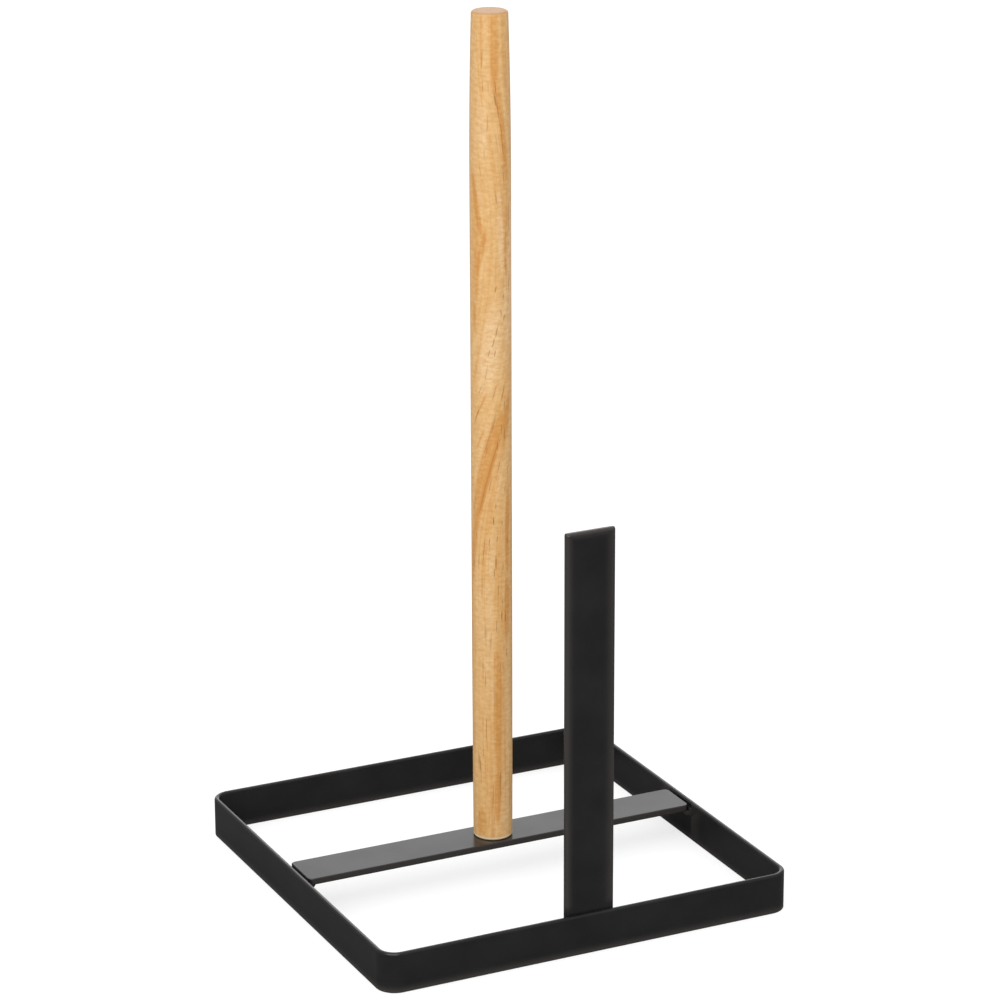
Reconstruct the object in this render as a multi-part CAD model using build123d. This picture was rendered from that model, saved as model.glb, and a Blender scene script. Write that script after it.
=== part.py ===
from build123d import *
import math
import os

# Paper towel holder: a welded flat-steel base, a tear bar at the front and a pine post.
# Millimetres. X runs along the crossbar, -Y is the front, +Z is up.
# The origin is on the table, under the middle of the base.

# Base ring: one flat strip standing on edge, bent to a rounded square
base_width = 165.0
base_depth = 165.0
strip_height = 15.5
strip_thickness = 2.0
bend_radius = 7.5
strip_rim_radius = 0.9
strip_foot_radius = 0.6

# Seam at the middle of the front, where the strip's two ends are welded under the tear bar
seam_gap = 1.2

# Crossbar: flat bar with its top a little below the rim
crossbar_width = 18.0
crossbar_thickness = 2.5
crossbar_corner_radius = 2.0
crossbar_edge_radius = 0.4
crossbar_end_gap = 1.0
crossbar_drop = 0.5

# Beads under the crossbar's ends
crossbar_bead_leg = 3.0
crossbar_bead_bulge = 0.5
crossbar_bead_recess = 1.5
crossbar_bead_overrun = 0.6

# Tear bar: flat bar standing against the inside of the front strip
tear_bar_width = 19.5
tear_bar_thickness = 3.0
tear_bar_foot_height = 1.0
tear_bar_length = 159.5
tear_bar_edge_radius = 1.3
tear_bar_end_radius = 0.9

# Beads along both sides of the tear bar's foot
tear_bead_leg = 2.5
tear_bead_bulge = 0.4
tear_bead_margin = 2.0

# Post: turned dowel with softly tapered ends
post_diameter = 15.0
post_length = 315.0
post_foot_diameter = 14.7
post_foot_taper = 90.0
post_foot_edge_radius = 0.8
post_crown_diameter = 13.3
post_crown_taper = 60.0
post_crown_edge_radius = 1.0

# Wood screw that holds the post from beneath, threaded from just under its pan head
screw_length = 30.0
screw_crest_diameter = 4.0
screw_core_diameter = 2.8
screw_neck_length = 1.0
screw_neck_diameter = 2.6
screw_tip_length = 6.0
screw_tip_diameter = 0.6
screw_head_diameter = 8.0
screw_head_height = 2.6
screw_head_edge_radius = 1.6
recess_length = 4.4
recess_width = 1.0
recess_depth = 1.5
screw_hole_clearance = 0.3

# Thread of the screw, and of the wood that it has cut itself into
thread_lead = 1.8
thread_crest_width = 0.15
thread_flank_width = 0.4
thread_points = 36
thread_clearance = 0.08
bore_end_clearance = 1.5

# Largest rounding, as a share of the thickness that it is cut from, and of the rolled edge that it runs out on
rounding_share = 0.45
roll_share = 0.75

# Where the pieces meet
inner_width = base_width - 2 * strip_thickness
inner_depth = base_depth - 2 * strip_thickness
crossbar_top = strip_height - crossbar_drop
crossbar_bottom = crossbar_top - crossbar_thickness
crossbar_length = inner_width - 2 * crossbar_end_gap
tear_bar_front = -inner_depth / 2
tear_bar_roll = min(tear_bar_edge_radius, rounding_share * tear_bar_thickness)
post_foot = crossbar_top
post_top = post_foot + post_length
screw_tip = crossbar_bottom + screw_length
thread_start = crossbar_bottom + screw_neck_length
thread_end = screw_tip - screw_tip_length


def softened(solid, top_radius, bottom_radius):
    solid = fillet(solid.edges().group_by(Axis.Z)[-1], top_radius)
    return fillet(solid.edges().group_by(Axis.Z)[0], bottom_radius)


def make_ring():
    outside = RectangleRounded(base_width, base_depth, bend_radius)
    inside = RectangleRounded(inner_width, inner_depth, bend_radius - strip_thickness)
    blank = extrude(outside - inside, strip_height)
    largest = rounding_share * strip_thickness
    return softened(blank, min(strip_rim_radius, largest), min(strip_foot_radius, largest))


def make_seam_gap():
    front_middle = Pos(0, (strip_thickness - base_depth) / 2, strip_height / 2)
    return front_middle * Box(seam_gap, 2 * strip_thickness, 2 * strip_height)


def make_crossbar():
    blank = extrude(RectangleRounded(crossbar_length, crossbar_width, crossbar_corner_radius), crossbar_thickness)
    hole = Cylinder(screw_crest_diameter / 2 + screw_hole_clearance, 4 * crossbar_thickness)
    bar = softened(blank, crossbar_edge_radius, crossbar_edge_radius)
    return Pos(0, 0, crossbar_bottom) * (bar - hole)


def bulged_bead(corner, reach_a, reach_b, bulge):
    # Fillet section: two legs from a corner, closed by an arc that stands out from the chord
    toe_a = corner + reach_a
    toe_b = corner + reach_b
    middle = (toe_a + toe_b) / 2
    crest = middle + (middle - corner).normalized() * bulge
    legs = Polyline(toe_b, corner, toe_a)
    return make_face(legs + ThreePointArc(toe_a, crest, toe_b))


def make_crossbar_bead(crossbar):
    # Fills the slit at the bar's right end from beneath, up to a recess below its top, and runs past the bar
    leg_along = crossbar_end_gap + crossbar_bead_leg
    corner = Vector(inner_width / 2, crossbar_bottom)
    fillet_section = bulged_bead(corner, Vector(-leg_along, 0), Vector(0, -crossbar_bead_leg), crossbar_bead_bulge)
    slit_width = crossbar_end_gap + crossbar_edge_radius
    slit_height = crossbar_thickness - crossbar_bead_recess
    slit = Pos(inner_width / 2 - slit_width / 2, crossbar_bottom + slit_height / 2) * Rectangle(slit_width, slit_height)
    bead_length = crossbar_width + 2 * crossbar_bead_overrun
    section = Plane.XZ * (fillet_section + slit)
    return extrude(section, bead_length / 2, both=True) - crossbar


def make_tear_bar():
    # Stock with rolled long edges, cut to length and softened at both ends
    blank = extrude(RectangleRounded(tear_bar_width, tear_bar_thickness, tear_bar_roll), tear_bar_length)
    end_radius = min(tear_bar_end_radius, roll_share * tear_bar_roll)
    bar = softened(blank, end_radius, end_radius)
    return Pos(0, tear_bar_front + tear_bar_thickness / 2, tear_bar_foot_height) * bar


def make_tear_bead(tear_bar):
    # Runs up the bar's right side inside the strip's height, and fills the groove at the rolled edge
    corner = Vector(tear_bar_width / 2, tear_bar_front)
    fillet_section = bulged_bead(corner, Vector(tear_bead_leg, 0), Vector(0, tear_bead_leg), tear_bead_bulge)
    groove = Pos(corner.X - tear_bar_roll / 2, corner.Y + tear_bead_leg / 2) * Rectangle(
        tear_bar_roll, tear_bead_leg
    )
    low = tear_bar_foot_height + tear_bead_margin
    high = strip_height - tear_bead_margin
    return Pos(0, 0, low) * extrude(fillet_section + groove, high - low) - tear_bar


def thread_face(clearance):
    # Seen along the axis, one turn of the ridge: a crest between two cosine flanks that fall to the core
    core_radius = screw_core_diameter / 2
    ridge = (screw_crest_diameter - screw_core_diameter) / 2
    points = []
    for step in range(thread_points):
        turn = step / thread_points
        past_crest = abs(turn - 0.5) * thread_lead - thread_crest_width / 2
        fall = min(max(past_crest / thread_flank_width, 0), 1)
        radius = core_radius + ridge * (1 + math.cos(math.pi * fall)) / 2 + clearance
        points.append(Vector(radius, 0).rotate(Axis.Z, 360 * turn))
    return make_face(Spline(*points, periodic=True))


def make_thread(clearance, low, high):
    # The face turns once for each lead that it climbs, counted from the table, so that all threads mesh
    rise = Line((0, 0, 0), (0, 0, high - low))
    guide = Helix(thread_lead, high - low, screw_core_diameter / 2)
    thread = sweep(thread_face(clearance), path=rise, binormal=guide)
    return Pos(0, 0, low) * Rot(0, 0, 360 * low / thread_lead) * thread


def make_post():
    # Half outline from the foot up: rounded rim, taper, straight stretch, taper, rounded rim
    radius = post_diameter / 2
    foot_radius = post_foot_diameter / 2
    crown_radius = post_crown_diameter / 2
    foot_inner = (foot_radius - post_foot_edge_radius, post_foot)
    foot_outer = (foot_radius, post_foot + post_foot_edge_radius)
    taper_end = (radius, post_foot + post_foot_taper)
    taper_start = (radius, post_top - post_crown_taper)
    crown_outer = (crown_radius, post_top - post_crown_edge_radius)
    crown_inner = (crown_radius - post_crown_edge_radius, post_top)
    outline = Polyline(crown_inner, (0, post_top), (0, post_foot), foot_inner)
    outline += TangentArc(foot_outer, foot_inner, tangent=(0, -1))
    outline += TangentArc(taper_end, foot_outer, tangent=(0, -1))
    outline += Line(taper_end, taper_start)
    outline += TangentArc(taper_start, crown_outer, tangent=(0, 1))
    outline += TangentArc(crown_outer, crown_inner, tangent=(0, 1))
    post = revolve(Plane.XZ * make_face(outline), Axis.Z)
    return post - make_thread(thread_clearance, post_foot - thread_lead, screw_tip + bore_end_clearance)


def make_screw():
    # Pan head that bears on the crossbar's underside, short neck, thread, plain pointed tip
    head_bottom = crossbar_bottom - screw_head_height
    head_radius = screw_head_diameter / 2
    neck_radius = screw_neck_diameter / 2
    head_inner = (head_radius - screw_head_edge_radius, head_bottom)
    head_outer = (head_radius, head_bottom + screw_head_edge_radius)
    head_outline = TangentArc(head_outer, head_inner, tangent=(0, -1))
    head_outline += Polyline(
        head_inner,
        (0, head_bottom),
        (0, thread_start),
        (neck_radius, thread_start),
        (neck_radius, crossbar_bottom),
        (head_radius, crossbar_bottom),
        head_outer,
    )
    tip_radius = min(neck_radius, screw_core_diameter / 2)
    tip_outline = Polyline(
        (0, thread_end),
        (tip_radius, thread_end),
        (screw_tip_diameter / 2, screw_tip),
        (0, screw_tip),
        close=True,
    )
    head = revolve(Plane.XZ * make_face(head_outline), Axis.Z)
    tip = revolve(Plane.XZ * make_face(tip_outline), Axis.Z)
    slot = Pos(0, 0, head_bottom) * Box(recess_length, recess_width, 2 * recess_depth)
    head = head - slot - Rot(0, 0, 90) * slot
    return head + make_thread(0, thread_start, thread_end) + tip


ring = make_ring()
seam = make_seam_gap()
crossbar = make_crossbar()
tear_bar = make_tear_bar()
crossbar_bead = make_crossbar_bead(crossbar)
tear_bead = make_tear_bead(tear_bar)

pieces = {
    "base_frame": ring - seam,
    "frame_seam_weld": ring & seam,
    "crossbar": crossbar,
    "crossbar_weld_left": mirror(crossbar_bead, Plane.YZ),
    "crossbar_weld_right": crossbar_bead,
    "tear_bar": tear_bar,
    "tear_bar_weld_left": mirror(tear_bead, Plane.YZ),
    "tear_bar_weld_right": tear_bead,
    "post": make_post(),
    "post_screw": make_screw(),
}

os.makedirs("parts", exist_ok=True)
for name, shape in pieces.items():
    export_step(shape, f"parts/{name}.step")
    print(f"{name}: volume {shape.volume:.1f} mm3")
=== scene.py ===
import math

import bpy
import numpy as np
from mathutils import Matrix, Vector


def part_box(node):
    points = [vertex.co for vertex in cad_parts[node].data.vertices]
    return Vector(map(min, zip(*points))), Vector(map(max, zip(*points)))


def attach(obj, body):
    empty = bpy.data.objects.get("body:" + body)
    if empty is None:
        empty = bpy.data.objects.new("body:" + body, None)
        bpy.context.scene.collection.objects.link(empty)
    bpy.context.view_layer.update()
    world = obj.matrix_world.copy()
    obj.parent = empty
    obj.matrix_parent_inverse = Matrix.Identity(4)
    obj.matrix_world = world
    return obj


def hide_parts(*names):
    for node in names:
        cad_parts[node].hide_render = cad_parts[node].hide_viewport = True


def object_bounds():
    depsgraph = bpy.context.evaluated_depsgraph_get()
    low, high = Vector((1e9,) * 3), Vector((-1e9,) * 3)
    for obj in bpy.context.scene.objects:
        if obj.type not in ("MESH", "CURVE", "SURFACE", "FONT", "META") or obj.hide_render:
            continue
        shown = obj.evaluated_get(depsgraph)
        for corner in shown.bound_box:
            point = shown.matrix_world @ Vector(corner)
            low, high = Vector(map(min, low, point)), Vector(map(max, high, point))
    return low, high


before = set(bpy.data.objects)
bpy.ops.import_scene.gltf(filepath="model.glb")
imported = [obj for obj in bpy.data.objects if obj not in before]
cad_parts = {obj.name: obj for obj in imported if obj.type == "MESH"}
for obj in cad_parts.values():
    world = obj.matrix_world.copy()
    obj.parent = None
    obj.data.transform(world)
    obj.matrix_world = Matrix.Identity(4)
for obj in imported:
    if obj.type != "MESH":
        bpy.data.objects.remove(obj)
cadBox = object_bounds()
mm = 0.001
noiseRange = (0.3, 0.7)  # most of a noise's values lie between these


# Surfaces

def addPiece(name, grid, material, closeRows=False, sharpAngle=40):
    # quads over rows and columns of points; columns close on themselves, open rows end in flat faces
    rows, columns = grid.shape[:2]
    points = grid.reshape(-1, 3)
    index = np.arange(rows * columns).reshape(rows, columns)
    index = np.hstack([index, index[:, :1]])
    if closeRows:
        index = np.vstack([index, index[:1]])
    quads = np.stack([index[:-1, :-1], index[:-1, 1:], index[1:, 1:], index[1:, :-1]], -1).reshape(-1, 4)
    faces = quads.tolist()
    if not closeRows:
        faces += [index[0, -2::-1].tolist(), index[-1, :-1].tolist()]
    # faces point outwards: their areas and their places seen from the middle agree in sum
    areas = np.cross(points[quads[:, 2]] - points[quads[:, 0]], points[quads[:, 3]] - points[quads[:, 1]])
    places = points[quads].mean(1) - points.mean(0)
    if (areas * places).sum() < 0:
        faces = [face[::-1] for face in faces]
    mesh = bpy.data.meshes.new(name)
    mesh.from_pydata(points.tolist(), [], faces)
    mesh.polygons.foreach_set("use_smooth", np.ones(len(faces), bool))
    mesh.set_sharp_from_angle(angle=math.radians(sharpAngle))
    mesh.materials.append(material)
    piece = bpy.data.objects.new(name, mesh)
    bpy.context.scene.collection.objects.link(piece)
    evenNormals = piece.modifiers.new("evenNormals", "WEIGHTED_NORMAL")
    evenNormals.keep_sharp = True
    return piece


def dress(piece, body, slot, *nodes):
    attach(piece, body)
    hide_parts(*nodes)


def roundedOutline(halfWidth, halfHeight, radius, cornerSteps, sideSteps=0):
    # anticlockwise from the lower right corner: arc centres, and the directions in which radius is added;
    # radius is one number, or one for each corner
    turn = np.pi / 2 * (np.linspace(-1, 0, cornerSteps + 1) + np.arange(4)[:, None])
    sides = np.array([[1, -1], [1, 1], [-1, 1], [-1, -1]])
    spread = [halfWidth, halfHeight] - np.broadcast_to(radius, 4)[:, None]
    centres = np.repeat((sides * spread)[:, None], cornerSteps + 1, 1)
    directions = np.stack([np.cos(turn), np.sin(turn)], -1)
    run = np.linspace(1, -1, sideSteps + 2)[1:-1, None] * (spread[1] * [1, 0])
    up = spread[1] * [0, 1]
    flat = np.tile([0.0, 1.0], (sideSteps, 1))
    centres = np.concatenate([centres[0], centres[1], run + up, centres[2], centres[3], -run - up])
    directions = np.concatenate([directions[0], directions[1], flat, directions[2], directions[3], -flat])
    return centres, directions


def smoothStep(values):
    clipped = np.clip(values, 0, 1)
    return clipped * clipped * (3 - 2 * clipped)


# Shader sums

class Wire:
    # a socket in a node tree; sums of wires and numbers add Math nodes
    def __init__(self, tree, socket=None):
        self.tree = tree
        self.socket = socket

    def make(self, kind, settings, sockets, output=0):
        node = self.tree.nodes.new(kind)
        for name, value in settings.items():
            setattr(node, name, value)
        for name, value in sockets.items():
            if isinstance(value, Wire):
                self.tree.links.new(value.socket, node.inputs[name])
            else:
                node.inputs[name].default_value = value
        return Wire(self.tree, node.outputs[output] if len(node.outputs) else None)

    def maths(self, operation, *values):
        return self.make("ShaderNodeMath", {"operation": operation}, dict(enumerate(values)))

    def __add__(self, other):
        return self.maths("ADD", self, other)

    def __radd__(self, other):
        return self.maths("ADD", other, self)

    def __sub__(self, other):
        return self.maths("SUBTRACT", self, other)

    def __rsub__(self, other):
        return self.maths("SUBTRACT", other, self)

    def __mul__(self, other):
        return self.maths("MULTIPLY", self, other)

    def __rmul__(self, other):
        return self.maths("MULTIPLY", other, self)

    def __truediv__(self, other):
        return self.maths("DIVIDE", self, other)

    def most(self, other):
        return self.maths("MAXIMUM", self, other)

    def step(self, low, high, top=1.0):
        # from 0 at low, smoothly, to top at high
        return self.make(
            "ShaderNodeMapRange",
            {"interpolation_type": "SMOOTHSTEP"},
            {"Value": self, "From Min": low, "From Max": high, "To Max": top},
        )

    def blend(self, first, second):
        # colours: first where this wire is 0, second where it is 1
        return self.make("ShaderNodeMix", {"data_type": "RGBA"}, {0: self, 6: first, 7: second}, 2)

    def noise(self, stretch, shift=(0, 0, 0), detail=2.0, rough=0.5):
        # stretch: waves in each metre along X, Y and Z
        moved = self.make("ShaderNodeMapping", {}, {"Vector": self, "Location": shift, "Scale": stretch})
        sockets = {"Vector": moved, "Scale": 1, "Detail": detail, "Roughness": rough}
        return self.make("ShaderNodeTexNoise", {}, sockets)


def newMaterial(name):
    material = bpy.data.materials.new(name)
    material.use_nodes = True
    material.node_tree.nodes.clear()
    start = Wire(material.node_tree)
    return material, start, start.make("ShaderNodeTexCoord", {}, {}, "Object")


def finishMaterial(start, sockets):
    surface = start.make("ShaderNodeBsdfPrincipled", {}, sockets)
    start.make("ShaderNodeOutputMaterial", {}, {"Surface": surface})


def splitPlace(start, place):
    # distances to the right, to the back and up
    return [start.make("ShaderNodeSeparateXYZ", {}, {0: place}, axis) for axis in "XYZ"]


def shade(red, green, blue):
    # a colour as it is seen on a screen, 0 to 255, turned into the light that it stands for
    seen = np.array([red, green, blue]) / 255
    return (*np.where(seen > 0.04045, ((seen + 0.055) / 1.055) ** 2.4, seen / 12.92), 1.0)


def grey(level):
    return (level, level, level, 1.0)


# Black powder coat: near black, satin, with a fine orange peel, and edges painted paler in place of the
# light they reflect

coat = {
    "dark": shade(26, 25, 26),
    "light": shade(34, 33, 33),
    # painted light: a paler tone put on the edges in place of reflected light, the coat itself being even
    # black
    "paintedSheen": shade(62, 58, 56),
    "sheenFoot": 4.5 * mm,  # how far the painted paler tone, which stands in for reflected light, reaches from the strip's lower edge
    "sheenEnd": 4.0 * mm,  # and from the tear bar's top
    "sheenLeft": 4.2 * mm,  # and from its long edges
    "sheenRight": 6.5 * mm,
    "sheenBar": 0.5 * mm,  # and from the crossbar's long edges
    "rimShare": 0.8,  # how much of the painted paler tone the tear bar's rim gets
    "barShare": 0.7,  # and the crossbar's sides
    "cloud": 70,  # waves in a metre
    "peel": 1300,
    "grit": 5200,
    "cloudShare": 0.6,  # of the tone's changes, the rest being grit
    "peelDepth": 0.006 * mm,
    "gritDepth": 0.0015 * mm,
    "roughest": 0.27,
    "smoothest": 0.18,
    "ior": 1.55,
}


def paintedEdgeSheen(start, place):
    # painted light: 1 at the edges that are painted paler in place of the light they reflect, falling
    # smoothly to 0:
    # the strip's foot, the tear bar's rim and the crossbar's sides
    rightward, backward, level = splitPlace(start, place)
    across, along = (start.maths("ABSOLUTE", distance) for distance in (rightward, backward))
    strip, tearBar, crossbar = (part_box(name)[1] for name in ("base_frame", "tear_bar", "crossbar"))
    foot = level.step(coat["sheenFoot"], 0)
    right = rightward.step(tearBar.x - coat["sheenRight"], tearBar.x)
    left = rightward.step(coat["sheenLeft"] - tearBar.x, -tearBar.x)
    end = level.step(tearBar.z - coat["sheenEnd"], tearBar.z)
    rim = right.most(left).most(end) * level.step(strip.z, strip.z + coat["sheenEnd"])
    bar = along.step(crossbar.y - coat["sheenBar"], crossbar.y, coat["barShare"])
    bar = bar * across.step(strip.x, crossbar.x) * along.step(2 * crossbar.y, crossbar.y + coat["sheenBar"])
    return (foot * foot).most(rim * rim * coat["rimShare"]).most(bar)


def makeCoat():
    material, start, place = newMaterial("blackPowderCoat")
    cloud = place.noise([coat["cloud"]] * 3, detail=3)
    peel = place.noise([coat["peel"]] * 3, detail=1)
    grit = place.noise([coat["grit"]] * 3, detail=1)
    height = peel * coat["peelDepth"] + grit * coat["gritDepth"]
    bump = start.make("ShaderNodeBump", {}, {"Strength": 1, "Distance": 1, "Height": height})
    tone = (cloud * coat["cloudShare"] + grit * (1 - coat["cloudShare"])).step(*noiseRange)
    finishMaterial(start, {
        # the painted paler edges lighten the base colour in place of reflected light
        "Base Color": paintedEdgeSheen(start, place).blend(tone.blend(coat["dark"], coat["light"]), coat["paintedSheen"]),
        "Roughness": coat["smoothest"] + cloud.step(*noiseRange, coat["roughest"] - coat["smoothest"]),
        "IOR": coat["ior"],
        "Normal": bump,
    })
    return material


# Pine: streaked wood whose grain leans one way, then the other, with bands of late wood and dark flecks

pine = {
    "honey": shade(228, 186, 126),
    "pale": shade(238, 205, 157),
    "late": shade(211, 150, 79),
    "brown": shade(146, 88, 42),
    "endGrain": shade(178, 136, 92),
    # a painted highlight: the light that the foot's rounded lip catches
    "lipHighlight": shade(240, 218, 184),
    "radius": 7.5,  # mm, by which the post's side is unrolled
    "swing": 2.2,  # mm, by which the marks sway
    # the grain climbs round the post: from this height to that one, so far to the right, in mm
    "climbs": [(120, 245, 22), (250, 325, -7)],
    # marks on the unrolled side: turn from the front in degrees, height, half width and half length in mm,
    # lean to the right in degrees, strength
    "pales": [
        (-28, 207, 5.5, 24, 8, 1.0), (4, 250, 2.2, 24, -2, 0.8), (-50, 290, 3.2, 15, 0, 0.6),
        (-5, 158, 1.6, 12, 6, 0.5), (-30, 128, 3.0, 13, 0, 0.5), (-70, 108, 1.6, 30, 0, 0.4),
        (30, 55, 2.6, 34, 0, 0.4), (120, 190, 4.0, 50, 5, 0.9), (-150, 110, 3.5, 45, 3, 0.7),
        # the patch at turn 24 and height 28 is painted light, lightening the wood near the foot where it
        # lies in shade
        (32, 232, 4.5, 36, 4, 0.8), (24, 28, 3.5, 24, 0, 0.5), (-40, 100, 3.0, 30, 0, 0.4),
    ],
    "bands": [
        (-12, 322, 2.3, 28, 0, 0.95), (-52, 320, 0.8, 14, 0, 0.5), (9, 288, 1.5, 27, -6, 0.75),
        (-68, 260, 1.6, 18, -11, 0.85), (-54, 243, 1.5, 13, 11, 0.85), (-66, 240, 1.8, 22, 0, 0.5),
        (-75, 219, 1.3, 7, 0, 0.8), (23, 246, 1.1, 24, 0, 0.6), (-2, 177, 3.0, 9, 12, 0.75),
        (20, 180, 1.9, 13, 8, 0.85), (-36, 159, 1.3, 30, 15, 1.0), (-44, 163, 3.0, 26, 15, 0.65),
        (-33, 157, 0.5, 24, 15, 0.9), (-55, 186, 0.5, 7, 24, 0.7), (-58, 173, 0.5, 6, 24, 0.65),
        (-80, 134, 1.8, 24, 8, 0.75), (25, 138, 1.3, 25, 1, 1.0), (22, 107, 1.8, 18, 0, 1.0),
        (-20, 86, 0.5, 6, 0, 0.7), (-10, 64, 2.2, 38, 0, 0.8), (-13, 34, 1.8, 16, 0, 0.95),
        (-60, 22, 3.0, 8, 0, 0.55), (150, 120, 3.0, 90, 0, 0.8), (100, 250, 2.4, 70, -3, 0.7),
        (-135, 60, 2.2, 60, 2, 0.7), (-160, 260, 2.0, 60, -4, 0.8), (75, 60, 1.8, 50, 2, 0.7),
    ],
    "flecks": [
        (-50, 314, 0.20, 4.5, 0, 0.6), (-47, 304, 0.20, 2.5, 0, 0.5), (-31, 304, 0.20, 2.5, 0, 0.5),
        (-34, 291, 0.25, 4.5, 3, 0.5), (-43, 280, 0.22, 2.0, 0, 0.5), (-10, 303, 0.18, 4.0, -6, 0.9),
        (-4, 296, 0.18, 4.5, -6, 0.9), (5, 288, 0.17, 4.0, -6, 0.8), (9, 282, 0.17, 3.5, -5, 0.8),
        (12, 271, 0.17, 5.5, -6, 0.9), (-12, 264, 0.18, 2.5, -6, 0.5), (35, 246, 0.30, 1.5, 0, 0.6),
        (20, 238, 0.22, 4.5, 0, 0.6), (-12, 230, 0.28, 1.5, 10, 0.8), (10, 227, 0.25, 1.6, 10, 0.8),
        (3, 221, 0.26, 1.4, -8, 0.9), (13, 219, 0.26, 1.6, 10, 0.9), (-12, 214, 0.22, 2.6, 12, 0.9),
        (-21, 210, 0.24, 2.2, 12, 0.9), (-15, 206, 0.24, 1.5, 8, 0.9), (-32, 206, 0.22, 1.8, 12, 0.8),
        (-38, 199, 0.17, 3.8, 10, 0.7), (-58, 192, 0.20, 2.0, 20, 0.7), (8, 191, 0.24, 3.8, 12, 0.8),
        (-17, 191, 0.26, 3.8, 15, 0.5), (-69, 182, 0.24, 3.8, 22, 0.8), (14, 186, 0.26, 2.2, 4, 0.9),
        (5, 177, 0.22, 2.2, 4, 0.8), (15, 175, 0.26, 2.8, 4, 0.9), (-8, 171, 0.24, 2.0, 8, 0.9),
        (25, 161, 0.22, 2.2, 0, 0.6), (-12, 148, 0.26, 1.7, 4, 0.7), (-19, 142, 0.28, 1.9, 0, 1.0),
        (7, 141, 0.26, 1.3, 0, 0.7), (-31, 134, 0.24, 1.9, 5, 0.8), (-8, 135, 0.24, 1.6, 5, 0.7),
        (25, 134, 0.26, 1.8, 0, 0.8), (-19, 122, 0.26, 2.2, 0, 0.8), (-7, 115, 0.22, 2.6, 0, 0.6),
        (3, 105, 0.28, 2.0, 0, 1.0), (16, 104, 0.28, 2.2, 0, 1.0), (-12, 101, 0.22, 3.2, 0, 0.7),
        (-28, 95, 0.20, 4.5, 5, 0.7), (18, 90, 0.24, 2.2, 0, 0.9), (5, 85, 0.22, 2.2, 0, 0.6),
        (-53, 84, 0.16, 6.5, 1, 0.7), (-42, 60, 0.16, 7.0, 2, 0.9), (-47, 43, 0.15, 7.5, 0, 0.5),
        (-27, 33, 0.15, 6.0, 0, 1.0), (-70, 25, 0.22, 2.0, 0, 0.6), (-36, 158, 0.50, 18.0, 15, 0.45),
        (-27, 176, 0.45, 11.0, 15, 0.45),
    ],
    # the depth inside a mark, as a share, at which it has its full strength
    "paleDepth": 0.7,
    "bandDepth": 0.55,
    "fleckDepth": 0.4,
    # noises: waves in a metre along X, Y and Z, and a shift that sets each apart
    "sway": ((70, 70, 35), (0, 0, 0)),
    "strand": ((430, 430, 9), (3, 1, 2)),
    "fibre": ((1700, 1700, 34), (0, 0, 0)),
    "stroke": ((1000, 1000, 75), (4, 9, 1)),
    "ripple": ((400, 400, 900), (7, 2, 5)),
    "mottle": ((1000, 1000, 400), (2, 6, 8)),
    "strandShare": 0.6,  # of the streaks, the rest being fibre
    # from a noise to the strength of a colour: none at the first value, the third at the second
    "streaks": (0.36, 0.64, 1.0),
    "paleStreaks": (0.6, 0.0, 0.35),
    "lateStreaks": (0.55, 1.0, 0.35),
    "lateRipple": (0.32, 0.7, 0.34),
    "lateMottle": (0.32, 0.7, 0.2),
    "brownStrokes": (0.65, 0.75, 1.0),
    "strokeStrands": (0.42, 0.6, 0.55),
    "fleckFibre": (0.1, 0.45, 0.64),
    "brownRipple": (0.32, 0.7, 0.08),
    "brownFibre": (0.6, 0.3, 0.06),
    # bare ends and the foot's painted highlight: the same, by mm above the post's top and above its foot
    "crownRise": (-1.0, -0.1, 0.9),
    "lipHighlightRise": (1.5, 0.8, 0.8),
    "reliefDepth": 0.012 * mm,
    "smoothest": 0.34,
    "roughest": 0.46,
    "ior": 1.45,
}


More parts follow.
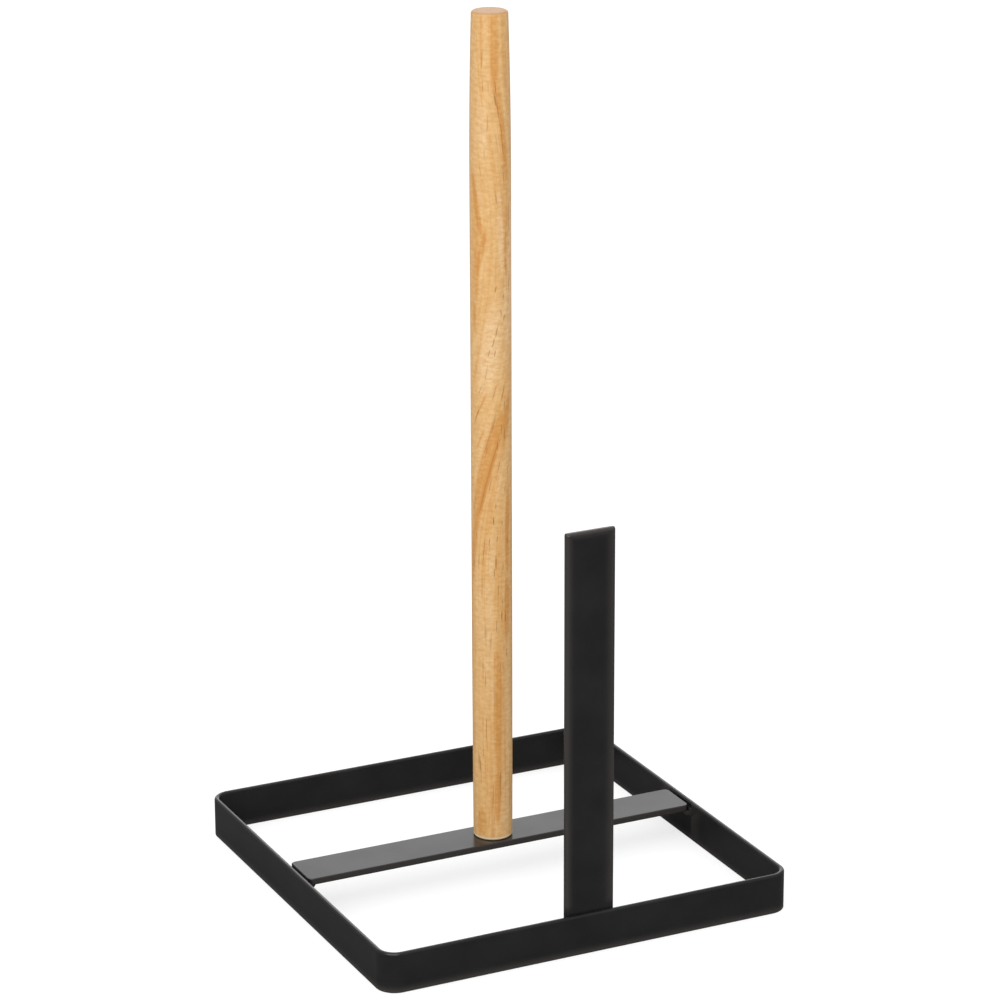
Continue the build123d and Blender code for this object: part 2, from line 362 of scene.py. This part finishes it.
def makePine():
    material, start, place = newMaterial("pine")
    rightward, backward, upward = splitPlace(start, place)
    level = upward / mm
    turn = start.maths("ARCTAN2", rightward, backward * -1)
    sway = place.noise(*pine["sway"], detail=3) - 0.5
    around = turn * pine["radius"] + sway * pine["swing"]
    unrolled = start.make("ShaderNodeCombineXYZ", {}, {0: around, 1: level})
    climb = 0.0
    for low, high, travel in pine["climbs"]:
        climb = level.step(low, high, travel / pine["radius"]) + climb
    untwist = {"Vector": place, "Angle": climb * -1}
    grain = start.make("ShaderNodeVectorRotate", {"rotation_type": "Z_AXIS"}, untwist)

    def patches(marks, full):
        # leaning ellipses, reaching full strength that deep inside, the strongest counting at each point
        total = 0.0
        for markTurn, markHeight, halfWidth, halfLength, lean, strength in marks:
            inside = start.make("ShaderNodeMapping", {"vector_type": "TEXTURE"}, {
                "Vector": unrolled,
                "Location": (math.radians(markTurn) * pine["radius"], markHeight, 0),
                "Rotation": (0, 0, -math.radians(lean)),
                "Scale": (halfWidth, halfLength, 1),
            })
            depth = start.make(
                "ShaderNodeTexGradient", {"gradient_type": "SPHERICAL"}, {"Vector": inside}, "Fac"
            )
            total = depth.step(0, full, strength).most(total)
        return total

    strand = grain.noise(*pine["strand"], detail=3, rough=0.6)
    fibre = grain.noise(*pine["fibre"], detail=3, rough=0.6)
    stroke = grain.noise(*pine["stroke"], detail=1)
    ripple = grain.noise(*pine["ripple"], detail=3, rough=0.6)
    mottle = place.noise(*pine["mottle"], detail=3, rough=0.6)
    streaks = strand * pine["strandShare"] + fibre * (1 - pine["strandShare"])
    streaks = streaks.step(*pine["streaks"])

    # from pale to dark: light wood, late wood, then brown strokes and flecks
    colour = patches(pine["pales"], pine["paleDepth"]).blend(pine["honey"], pine["pale"])
    colour = streaks.step(*pine["paleStreaks"]).blend(colour, pine["pale"])
    late = patches(pine["bands"], pine["bandDepth"]) * (0.5 + streaks * 0.5)
    late = late.most(streaks.step(*pine["lateStreaks"]))
    late = late + ripple.step(*pine["lateRipple"]) + mottle.step(*pine["lateMottle"])
    colour = late.blend(colour, pine["late"])
    strokes = stroke.step(*pine["brownStrokes"]) * strand.step(*pine["strokeStrands"])
    flecks = patches(pine["flecks"], pine["fleckDepth"]) * fibre.step(*pine["fleckFibre"])
    fine = ripple.step(*pine["brownRipple"]) + fibre.step(*pine["brownFibre"])
    colour = (strokes.most(flecks) + fine).blend(colour, pine["brown"])

    # bare ends: greyer on the crown; on the foot's rounded lip a cream painted highlight, where the lip
    # catches light
    low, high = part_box("post")
    colour = (level - high.z / mm).step(*pine["crownRise"]).blend(colour, pine["endGrain"])
    colour = (level - low.z / mm).step(*pine["lipHighlightRise"]).blend(colour, pine["lipHighlight"])

    relief = fibre * pine["reliefDepth"] + ripple * pine["reliefDepth"]
    bump = start.make("ShaderNodeBump", {}, {"Strength": 1, "Distance": 1, "Height": relief})
    finishMaterial(start, {
        "Base Color": colour,
        "Roughness": pine["smoothest"] + fibre.step(*noiseRange, pine["roughest"] - pine["smoothest"]),
        "IOR": pine["ior"],
        "Normal": bump,
    })
    return material


# Zinc plating: pale metal with faint clouds

zinc = {
    "bright": shade(206, 207, 204),
    "dull": shade(171, 173, 172),
    "cloud": 900,  # waves in a metre
    "scuff": (2500, 2500, 9000),
    "scuffDepth": 0.004 * mm,
    "smoothest": 0.24,
    "roughest": 0.42,
}


def makeZinc():
    material, start, place = newMaterial("zincPlatedSteel")
    cloud = place.noise([zinc["cloud"]] * 3, detail=4)
    scuff = place.noise(zinc["scuff"], detail=2)
    height = scuff * zinc["scuffDepth"]
    bump = start.make("ShaderNodeBump", {}, {"Strength": 1, "Distance": 1, "Height": height})
    finishMaterial(start, {
        "Base Color": cloud.step(*noiseRange).blend(zinc["dull"], zinc["bright"]),
        "Metallic": 1.0,
        "Roughness": zinc["smoothest"] + scuff.step(*noiseRange, zinc["roughest"] - zinc["smoothest"]),
        "Normal": bump,
    })
    return material


coatMaterial = makeCoat()
pineMaterial = makePine()
zincMaterial = makeZinc()
print("materials: powder coat, pine and zinc")


# Base ring: a flat strip on edge, bent round a square and welded shut at the front

baseRing = {
    "stripThickness": 2.0 * mm,
    "bendRadius": 7.5 * mm,
    "rimRadius": 0.9 * mm,
    "footRadius": 0.6 * mm,
    "bendSteps": 20,
    "edgeSteps": 8,
    "seamCrown": 0.03 * mm,
    "seamSteps": 8,
}


def stripSection(swell=0.0):
    # rounded rectangle as insets from the ring's outside and heights above the table;
    # swell is one number, or a column of them for as many sections
    thickness = baseRing["stripThickness"]
    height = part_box("base_frame")[1].z
    foot, rim, steps = baseRing["footRadius"], baseRing["rimRadius"], baseRing["edgeSteps"]
    radii = np.array([foot, rim, rim, foot])
    centres, directions = roundedOutline(thickness / 2, height / 2, radii, steps)
    section = centres + (np.repeat(radii, steps + 1) + swell)[..., None] * directions
    return thickness / 2 - section[..., 0], np.maximum(height / 2 + section[..., 1], 0)


def makeBaseRing():
    # the section carried along the rounded square, from the right of the seam round to its left
    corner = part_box("base_frame")[1]
    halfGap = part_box("frame_seam_weld")[1].x
    inset, height = stripSection()
    radius = baseRing["bendRadius"]
    centres, directions = roundedOutline(corner.x, corner.y, radius, baseRing["bendSteps"])
    bends = centres[:, None] + (radius - inset)[:, None] * directions[:, None]
    front = inset - corner.y
    start = np.stack([np.full_like(front, halfGap), front], -1)
    plan = np.concatenate([start[None], bends, (start * [-1, 1])[None]])
    grid = np.concatenate([plan, np.broadcast_to(height[:, None], (*plan.shape[:2], 1))], -1)
    dress(addPiece("baseRing", grid, coatMaterial), "base", "black_powder_coat", "base_frame")


def makeSeamWeld():
    # the same section across the gap, standing out a little in the middle, as a ground weld does
    low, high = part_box("frame_seam_weld")
    across = np.linspace(-1, 1, baseRing["seamSteps"])[:, None]
    inset, height = stripSection(baseRing["seamCrown"] * (1 - across * across))
    grid = np.stack([np.broadcast_to(across * high.x, inset.shape), low.y + inset, height], -1)
    dress(addPiece("seamWeld", grid, coatMaterial), "base", "black_powder_coat", "frame_seam_weld")


makeBaseRing()
makeSeamWeld()
print("base ring: bent strip and seam")


# Flat bars: rounded plates with softened rims

crossbarPlate = {
    "cornerRadius": 2.0 * mm,
    "edgeRadius": 0.4 * mm,
    "edgeSpread": (1.0, 1.0),  # how far the rounding draws the outline in, in both directions
    "holeRadius": 2.3 * mm,
    "cornerSteps": 8,
    "edgeSteps": 5,
    "sideSteps": 14,
}
tearBarPlate = {
    "cornerRadius": 1.3 * mm,  # rolled long edges
    "edgeRadius": 0.9 * mm,  # cut ends, rubbed rounder across the thickness than along the width
    "edgeSpread": (0.55, 1.5),
    "cornerSteps": 10,
    "edgeSteps": 8,
}


def plateRows(halfWidth, halfHeight, thickness, plate, sideSteps=0):
    # the outline drawn in by the rim's quarter ellipses, from one face over the edge to the other face
    turn = np.linspace(0, np.pi / 2, plate["edgeSteps"] + 1)
    inset = plate["edgeRadius"] * (1 - np.cos(turn))
    level = plate["edgeRadius"] * (1 - np.sin(turn))
    insets = np.concatenate([inset[::-1], inset])
    levels = np.concatenate([level[::-1], thickness - level])
    centres, directions = roundedOutline(
        halfWidth, halfHeight, plate["cornerRadius"], plate["cornerSteps"], sideSteps
    )
    drawnIn = insets[:, None, None] * plate["edgeSpread"]
    flat = centres + (plate["cornerRadius"] - drawnIn) * directions
    return np.concatenate([flat, np.broadcast_to(levels[:, None, None], (*flat.shape[:2], 1))], -1)


def makeCrossbar():
    # plate with a round hole: the hole's two rims close the rows into a loop
    low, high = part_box("crossbar")
    rows = plateRows(high.x, high.y, high.z - low.z, crossbarPlate, crossbarPlate["sideSteps"])
    columns = rows.shape[1]
    turn = 2 * np.pi * (np.arange(columns) / columns) - np.pi / 4
    rim = crossbarPlate["holeRadius"] * np.stack([np.cos(turn), np.sin(turn)], -1)
    rims = [np.column_stack([rim, np.full(columns, level)]) for level in (high.z - low.z, 0)]
    grid = np.concatenate([rows, rims]) + [0, 0, low.z]
    piece = addPiece("crossbarPlate", grid, coatMaterial, closeRows=True)
    dress(piece, "base", "black_powder_coat", "crossbar")


def makeTearBar():
    # the bar's section as the outline, with its length as the thickness
    low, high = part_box("tear_bar")
    rows = plateRows(high.x, (high.y - low.y) / 2, high.z - low.z, tearBarPlate)
    grid = rows + [0, (low.y + high.y) / 2, low.z]
    dress(addPiece("tearBarPlate", grid, coatMaterial), "base", "black_powder_coat", "tear_bar")


makeCrossbar()
makeTearBar()
print("flat bars: crossbar and tear bar")


# Weld beads: rippled fillets with rounded ends

weldBead = {
    "rippleLength": 1.3 * mm,
    "rippleHeight": 0.22,  # share of the bulge
    "rippleBow": 0.8,  # ripples by which a crescent's middle lags
    "endLength": 1.6 * mm,
    "endShare": 0.35,  # of its size that a bead has left at its ends
    "crossbarBulge": 0.5 * mm,
    "tearBarBulge": 0.4 * mm,
    "sink": 0.05 * mm,  # how far a bead reaches into what it joins
    "runSteps": 90,
    "arcSteps": 14,
}


def makeBead(name, node, corner, legA, legB, run, bulge, inner):
    # from the corner, both legs and a bulge that rises between them, carried along the run:
    # crescent ripples swell the bulge, and the whole section shrinks over the rounded ends
    corner, legA, legB, run = (np.array(v) for v in (corner, legA, legB, run))
    unitA = legA / np.linalg.norm(legA)
    unitB = legB / np.linalg.norm(legB)
    share = np.linspace(0, 1, weldBead["arcSteps"])
    place = np.linspace(-1, 1, weldBead["runSteps"])[:, None]
    halfRun = np.linalg.norm(run)
    hump = 4 * share * (1 - share)
    toEnd = np.clip((1 - np.abs(place)) * halfRun / weldBead["endLength"], 0, 1)
    size = weldBead["endShare"] + (1 - weldBead["endShare"]) * np.sqrt(1 - (1 - toEnd) ** 2)
    wave = place * halfRun / weldBead["rippleLength"] - weldBead["rippleBow"] * hump
    ripple = 1 + weldBead["rippleHeight"] * np.cos(2 * np.pi * wave)
    outward = (unitA + unitB) / np.linalg.norm(unitA + unitB)
    fillet = (1 - share)[:, None] * legA + share[:, None] * legB
    skin = size[..., None] * (fillet + (bulge * hump * ripple)[..., None] * outward)
    core = np.array(inner) @ np.array([unitA, unitB])
    core = np.broadcast_to(core, (len(place), *core.shape))
    grid = np.concatenate([skin, core], 1) + corner + place[..., None] * run
    dress(addPiece(name, grid, coatMaterial, sharpAngle=70), "base", "black_powder_coat", node)


def makeCrossbarBeads():
    # under the bar's ends, and up the slit between the bar and the strip
    low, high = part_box("crossbar_weld_right")
    barLow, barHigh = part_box("crossbar")
    sink = weldBead["sink"]
    slit = high.x - barHigh.x + sink
    filled = high.z - barLow.z
    for side, label in ((-1, "Left"), (1, "Right")):
        makeBead(
            "crossbarWeld" + label, "crossbar_weld_" + label.lower(),
            corner=(side * high.x, 0, barLow.z), legA=(side * (low.x - high.x), 0, 0),
            legB=(0, 0, low.z - barLow.z), run=(0, high.y, 0), bulge=weldBead["crossbarBulge"],
            inner=[(-sink, 0), (-sink, -filled), (slit, -filled), (slit, -sink)],
        )


def makeTearBarBeads():
    # up both sides of the bar's foot, and into the groove along its rolled edge
    low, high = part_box("tear_bar_weld_right")
    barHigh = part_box("tear_bar")[1]
    sink = weldBead["sink"]
    groove = tearBarPlate["cornerRadius"]
    bend = groove * (1 - math.sqrt(0.5)) + sink
    for side, label in ((-1, "Left"), (1, "Right")):
        makeBead(
            "tearBarWeld" + label, "tear_bar_weld_" + label.lower(),
            corner=(side * barHigh.x, low.y, (low.z + high.z) / 2),
            legA=(side * (high.x - barHigh.x), 0, 0), legB=(0, high.y - low.y, 0),
            run=(0, 0, (high.z - low.z) / 2), bulge=weldBead["tearBarBulge"],
            inner=[(-sink, groove), (-bend, bend), (-groove, sink), (-groove, -sink)],
        )


makeCrossbarBeads()
makeTearBarBeads()
print("welds: crossbar and tear bar beads")


# Thread that the screw and the post's bore share

thread = {
    "lead": 1.8 * mm,
    "coreRadius": 1.4 * mm,
    "crestRadius": 2.0 * mm,
    "crestWidth": 0.15 * mm,
    "flankWidth": 0.4 * mm,
    "boreClearance": 0.08 * mm,
    "rowHeight": 0.15 * mm,
}


def threadRadius(turn, height):
    # a ridge that climbs one lead in each turn, with cosine flanks down to the core
    phase = np.mod(turn / (2 * np.pi) - height / thread["lead"], 1)
    pastCrest = np.abs(phase - 0.5) * thread["lead"] - thread["crestWidth"] / 2
    fall = np.clip(pastCrest / thread["flankWidth"], 0, 1)
    ridge = thread["crestRadius"] - thread["coreRadius"]
    return thread["coreRadius"] + ridge * (1 + np.cos(np.pi * fall)) / 2


def turnedGrid(radius, height, turn):
    # points at a radius and a height all round the axis
    level = np.broadcast_to(height, radius.shape)
    return np.stack([radius * np.cos(turn), radius * np.sin(turn), level], -1)


# Post: turned dowel, softly tapered at both ends, with the screw's bore in its foot

postDowel = {
    "footRadius": 7.35 * mm,
    "footTaper": 90 * mm,
    "footRim": 0.8 * mm,
    "crownRadius": 6.65 * mm,
    "crownTaper": 60 * mm,
    "crownRim": 1.0 * mm,
    "boreRoom": 1.5 * mm,  # from the screw's tip to the bore's end
    "columns": 96,
    "lengthRows": 300,
    "rimRows": 10,
}


def makePost():
    # rows from the bore's end down to its mouth, round the foot's rim, up the side and over the crown
    low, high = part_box("post")
    radius = high.x
    turn = np.linspace(0, 2 * np.pi, postDowel["columns"], endpoint=False)[None]
    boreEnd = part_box("post_screw")[1].z + postDowel["boreRoom"]
    boreRows = int((boreEnd - low.z) / thread["rowHeight"])
    boreHeight = np.linspace(boreEnd, low.z, boreRows)[:, None]
    bore = threadRadius(turn, boreHeight) + thread["boreClearance"]

    footRim, crownRim = postDowel["footRim"], postDowel["crownRim"]
    quarter = np.linspace(0, np.pi / 2, postDowel["rimRows"])
    side = np.linspace(low.z + footRim, high.z - crownRim, postDowel["lengthRows"])
    footShare = np.clip(1 - (side - low.z - footRim) / (postDowel["footTaper"] - footRim), 0, 1)
    crownShare = np.clip(1 - (high.z - crownRim - side) / (postDowel["crownTaper"] - crownRim), 0, 1)
    sideRadius = radius - (radius - postDowel["footRadius"]) * footShare ** 2
    sideRadius -= (radius - postDowel["crownRadius"]) * crownShare ** 2
    outline = np.concatenate([
        np.stack([postDowel["footRadius"] - footRim * (1 - np.sin(quarter)),
                  low.z + footRim * (1 - np.cos(quarter))], -1)[:-1],
        np.stack([sideRadius, side], -1),
        np.stack([postDowel["crownRadius"] - crownRim * (1 - np.cos(quarter)),
                  high.z - crownRim * (1 - np.sin(quarter))], -1)[1:],
    ])
    outside = np.broadcast_to(outline[:, :1], (len(outline), turn.size))
    grid = np.concatenate([
        turnedGrid(bore, boreHeight, turn),
        turnedGrid(outside, outline[:, 1:], turn),
    ])
    dress(addPiece("pinePost", grid, pineMaterial), "post", "pine", "post")


# Screw: pan head with a cross recess, short neck, thread and tapered tip

woodScrew = {
    "headRim": 1.6 * mm,
    "neckRadius": 1.3 * mm,
    "neckLength": 1.0 * mm,
    "tipLength": 6.0 * mm,
    "tipRadius": 0.3 * mm,
    "recessReach": 2.2 * mm,
    "recessHalfWidth": 0.5 * mm,
    "recessDepth": 1.5 * mm,
    "recessRunOut": 1.3,  # over 1, the wings keep their depth near the middle
    "recessWall": (0.6, 1.1),  # shares of the half width between which the wings' sides rise
    "headMiddle": 0.02,  # share of the flat face's radius that one small face closes
    "columns": 120,
    "headRows": 40,
    "rimRows": 10,
    "tipRows": 40,
}


def recessDepth(across, along):
    # two tapered wings that cross: deep in the middle, running out at their ends
    def wing(length, width):
        reach = np.clip(woodScrew["recessRunOut"] * (1 - np.abs(length) / woodScrew["recessReach"]), 0, 1)
        wallLow, wallHigh = woodScrew["recessWall"]
        rise = (np.abs(width) / woodScrew["recessHalfWidth"] - wallLow) / (wallHigh - wallLow)
        return reach * (1 - smoothStep(rise))
    return woodScrew["recessDepth"] * np.maximum(wing(across, along), wing(along, across))


def makeScrew():
    # rows from the head's middle over its rim to the bearing face, then up the neck, thread and tip
    low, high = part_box("post_screw")
    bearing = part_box("crossbar")[0].z
    headRadius = high.x
    rim = woodScrew["headRim"]
    turn = np.linspace(0, 2 * np.pi, woodScrew["columns"], endpoint=False)[None]
    faceShare = np.linspace(woodScrew["headMiddle"], 1, woodScrew["headRows"])[:, None]
    faceRadius = faceShare * (headRadius - rim) + 0 * turn
    recess = recessDepth(faceRadius * np.cos(turn), faceRadius * np.sin(turn))
    face = turnedGrid(faceRadius, low.z + recess, turn)

    quarter = np.linspace(0, np.pi / 2, woodScrew["rimRows"])[1:]
    threadLow = bearing + woodScrew["neckLength"]
    tipLow = high.z - woodScrew["tipLength"]
    neck = woodScrew["neckRadius"]
    headOutline = np.concatenate([
        np.stack([headRadius - rim * (1 - np.sin(quarter)), low.z + rim * (1 - np.cos(quarter))], -1),
        [[headRadius, bearing], [neck, bearing], [neck, threadLow]],
    ])
    head = turnedGrid(headOutline[:, :1] + 0 * turn, headOutline[:, 1:], turn)

    threadRows = int((tipLow - threadLow) / thread["rowHeight"])
    threadHeight = np.linspace(threadLow, tipLow, threadRows)[:, None]
    tipHeight = np.linspace(tipLow, high.z, woodScrew["tipRows"])[1:, None]
    thinning = (tipHeight - tipLow) / woodScrew["tipLength"]
    tip = threadRadius(turn, tipHeight) * (1 - thinning) + woodScrew["tipRadius"] * thinning
    grid = np.concatenate([
        face,
        head,
        turnedGrid(threadRadius(turn, threadHeight), threadHeight, turn),
        turnedGrid(tip, tipHeight, turn),
    ])
    dress(addPiece("woodScrew", grid, zincMaterial), "screw", "zinc_plated_steel", "post_screw")


makePost()
makeScrew()
print("post and screw: threaded together")


# Stage: white floor, white surroundings, soft lamps and the photograph's camera

stage = {
    "floorHalf": 6.0,
    "floorShade": 0.1,  # as the finish mirrors it near the object
    "floorFar": 0.4,  # and where it runs up to the white backdrop
    "floorReach": (0.1, 0.6),  # metres towards the backdrop between which it changes
    "floorSeen": 0.35,  # as the wood and the camera see it
    "floorGlow": 0.7,  # added for the camera alone, to which the floor is white
    "ambient": 0.9,
    "surround": 0.3,  # as the finish mirrors it, beside a white backdrop
    "backdropAim": (0.436, 0.9, 0),
    "backdropFade": (0.75, 0.93),  # cosines of the turn away from the backdrop's middle
    # where each lamp stands from the object's middle, its width and its power in watts
    "lamps": [
        ((-1.3, -1.7, 1.5), 3.0, 50),
        ((0.2, 0.6, 2.2), 1.6, 6),
        ((0.95, 1.98, 0.8), 1.6, 3.5),
    ],
}
viewpoint = {
    "turn": -25.866,
    "rise": 18.522,
    "roll": -0.2,
    "target": (3.44 * mm, 0, 147.28 * mm),
    "distance": 1437.32 * mm,
    "lens": 140.67,
    "sensor": 36,
}


def anyRay(start, *names):
    # 1 for rays of these kinds, 0 for others
    path = [start.make("ShaderNodeLightPath", {}, {}, name) for name in names]
    total = path[0]
    for ray in path[1:]:
        total = total.most(ray)
    return total


def towardsBackdrop(start, place):
    # distance along the line to the backdrop, or for a direction the cosine of its turn from it
    towards = {0: place, 1: stage["backdropAim"]}
    return start.make("ShaderNodeVectorMath", {"operation": "DOT_PRODUCT"}, towards, "Value")


def makeFloor():
    half = stage["floorHalf"]
    mesh = bpy.data.meshes.new("floor")
    corners = np.array([[-1, -1, 0], [1, -1, 0], [1, 1, 0], [-1, 1, 0]]) * half
    mesh.from_pydata(corners.tolist(), [], [[0, 1, 2, 3]])
    floor = bpy.data.objects.new("floor", mesh)
    bpy.context.scene.collection.objects.link(floor)
    material, start, place = newMaterial("whiteFloor")
    near, far, pale = (grey(stage[name]) for name in ("floorShade", "floorFar", "floorSeen"))
    mirrored = towardsBackdrop(start, place).step(*stage["floorReach"]).blend(near, far)
    colour = anyRay(start, "Is Glossy Ray", "Is Transmission Ray").blend(pale, mirrored)
    plain = start.make("ShaderNodeBsdfDiffuse", {}, {"Color": colour})
    seen = anyRay(start, "Is Camera Ray") * stage["floorGlow"]
    glow = start.make("ShaderNodeEmission", {}, {"Strength": seen})
    surface = start.make("ShaderNodeAddShader", {}, {0: plain, 1: glow})
    start.make("ShaderNodeOutputMaterial", {}, {"Surface": surface})
    mesh.materials.append(material)


def makeWorld():
    world = bpy.data.worlds.new("studio")
    world.use_nodes = True
    world.node_tree.nodes.clear()
    start = Wire(world.node_tree)
    # white to the camera, a white backdrop behind the object to its finish, plain light to all else
    sight = start.make("ShaderNodeTexCoord", {}, {}, "Generated")
    facing = towardsBackdrop(start, sight).step(*stage["backdropFade"], 1 - stage["surround"])
    backdrop = stage["surround"] + facing
    mirrored = anyRay(start, "Is Glossy Ray", "Is Transmission Ray") * (backdrop - stage["ambient"])
    seen = anyRay(start, "Is Camera Ray") * (1 - stage["ambient"])
    strength = stage["ambient"] + mirrored + seen
    light = start.make("ShaderNodeBackground", {}, {"Color": (1, 1, 1, 1), "Strength": strength})
    start.make("ShaderNodeOutputWorld", {}, {"Surface": light})
    bpy.context.scene.world = world


def makeLamps():
    middle = (Vector(cadBox[0]) + Vector(cadBox[1])) / 2
    for number, (offset, width, power) in enumerate(stage["lamps"]):
        lamp = bpy.data.lights.new(f"softLamp{number}", "AREA")
        lamp.size = width
        lamp.energy = power
        holder = bpy.data.objects.new(lamp.name, lamp)
        aim = Vector(offset).to_track_quat("Z", "Y").to_matrix().to_4x4()
        holder.matrix_world = Matrix.Translation(middle + Vector(offset)) @ aim
        bpy.context.scene.collection.objects.link(holder)


def makeCamera():
    # the camera looks back along a line at this turn and rise from the target
    turn, rise, roll = (math.radians(viewpoint[name]) for name in ("turn", "rise", "roll"))
    back = Vector((math.sin(turn) * math.cos(rise), -math.cos(turn) * math.cos(rise), math.sin(rise)))
    level = Vector((math.cos(turn), math.sin(turn), 0))
    upright = back.cross(level)
    right = math.cos(roll) * level + math.sin(roll) * upright
    up = math.cos(roll) * upright - math.sin(roll) * level
    lens = bpy.data.cameras.new("camera")
    lens.lens = viewpoint["lens"]
    lens.sensor_width = viewpoint["sensor"]
    camera = bpy.data.objects.new("camera", lens)
    place = Vector(viewpoint["target"]) + viewpoint["distance"] * back
    camera.matrix_world = Matrix.Translation(place) @ Matrix((right, up, back)).transposed().to_4x4()
    bpy.context.scene.collection.objects.link(camera)
    bpy.context.scene.camera = camera


makeFloor()
makeWorld()
makeLamps()
makeCamera()
bpy.context.scene.view_settings.view_transform = "Standard"
print("stage: floor, surroundings, lamps and camera")
